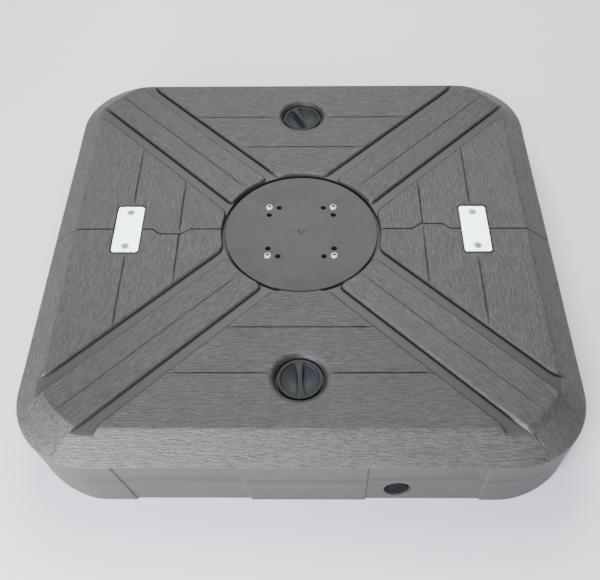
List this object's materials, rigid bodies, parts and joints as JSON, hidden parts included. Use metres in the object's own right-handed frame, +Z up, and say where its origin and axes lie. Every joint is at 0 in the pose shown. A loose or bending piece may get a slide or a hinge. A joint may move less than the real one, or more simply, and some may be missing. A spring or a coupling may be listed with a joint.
{
  "type": "parasol base",
  "caption": "Low square chamfered base in matching hollow halves, filled with water or sand through screw caps, with a round bolt-on disc for a cantilever parasol mast.",
  "frame": {"origin": "middle of the footprint, on the floor", "axes": "+X to the right along the seam, +Y to the rear across it, +Z up"},
  "size_m": [1, 1, 0.164],
  "materials": {
    "shell": "moulded wood grain, satin",
    "disc": "smooth satin",
    "cap": "semi-gloss",
    "gasket": "matte",
    "bung": "matte",
    "plate": "satin",
    "screw": "zinc plated",
    "insert": "turned",
    "bolt": "zinc plated",
    "nut_zinc": "zinc plated",
    "backing": "powder coated"
  },
  "bodies": {
    "root": {"front_shell": "shell", "rear_shell": "shell", "mounting_disc": "disc", "backing_plate": "backing", "left_joining_plate": "plate", "right_joining_plate": "plate", "mast_bolt_1": "bolt", "mast_bolt_2": "bolt", "mast_bolt_3": "bolt", "mast_bolt_4": "bolt", "bolt_washer_1": "nut_zinc", "bolt_washer_2": "nut_zinc", "bolt_washer_3": "nut_zinc", "bolt_washer_4": "nut_zinc", "bolt_nut_1": "nut_zinc", "bolt_nut_2": "nut_zinc", "bolt_nut_3": "nut_zinc", "bolt_nut_4": "nut_zinc", "joining_screw_1": "screw", "joining_screw_2": "screw", "joining_screw_3": "screw", "joining_screw_4": "screw", "threaded_insert_1": "insert", "threaded_insert_2": "insert", "threaded_insert_3": "insert", "threaded_insert_4": "insert"},
    "front_gasket": {"front_cap_gasket": "gasket"},
    "front_cap": {"front_fill_cap": "cap"},
    "rear_gasket": {"rear_cap_gasket": "gasket"},
    "rear_cap": {"rear_fill_cap": "cap"},
    "front_bung": {"front_drain_bung": "bung"},
    "rear_bung": {"rear_drain_bung": "bung"}
  },
  "joints": [
    {"name": "front_cap_lift", "type": "slide", "parent": "root", "child": "front_gasket", "axis": [0, 0, 1], "range_m": [0, 0.0181]},
    {"name": "front_cap_turn", "type": "hinge", "parent": "front_gasket", "child": "front_cap", "pos_m": [0, -0.345, 0.15], "axis": [0, 0, 1], "range_deg": [0, 1080]},
    {"name": "rear_cap_lift", "type": "slide", "parent": "root", "child": "rear_gasket", "axis": [0, 0, 1], "range_m": [0, 0.0181]},
    {"name": "rear_cap_turn", "type": "hinge", "parent": "rear_gasket", "child": "rear_cap", "pos_m": [0, 0.345, 0.15], "axis": [0, 0, 1], "range_deg": [0, 1080]},
    {"name": "front_drain_pull", "type": "slide", "parent": "root", "child": "front_bung", "axis": [0, -1, 0], "range_m": [0, 0.025]},
    {"name": "rear_drain_pull", "type": "slide", "parent": "root", "child": "rear_bung", "axis": [0, 1, 0], "range_m": [0, 0.025]}
  ],
  "couplings": [
    {"joint": "front_cap_lift", "follows": "front_cap_turn", "m_per_rad": 0.00095493},
    {"joint": "rear_cap_lift", "follows": "rear_cap_turn", "m_per_rad": 0.00095493}
  ]
}
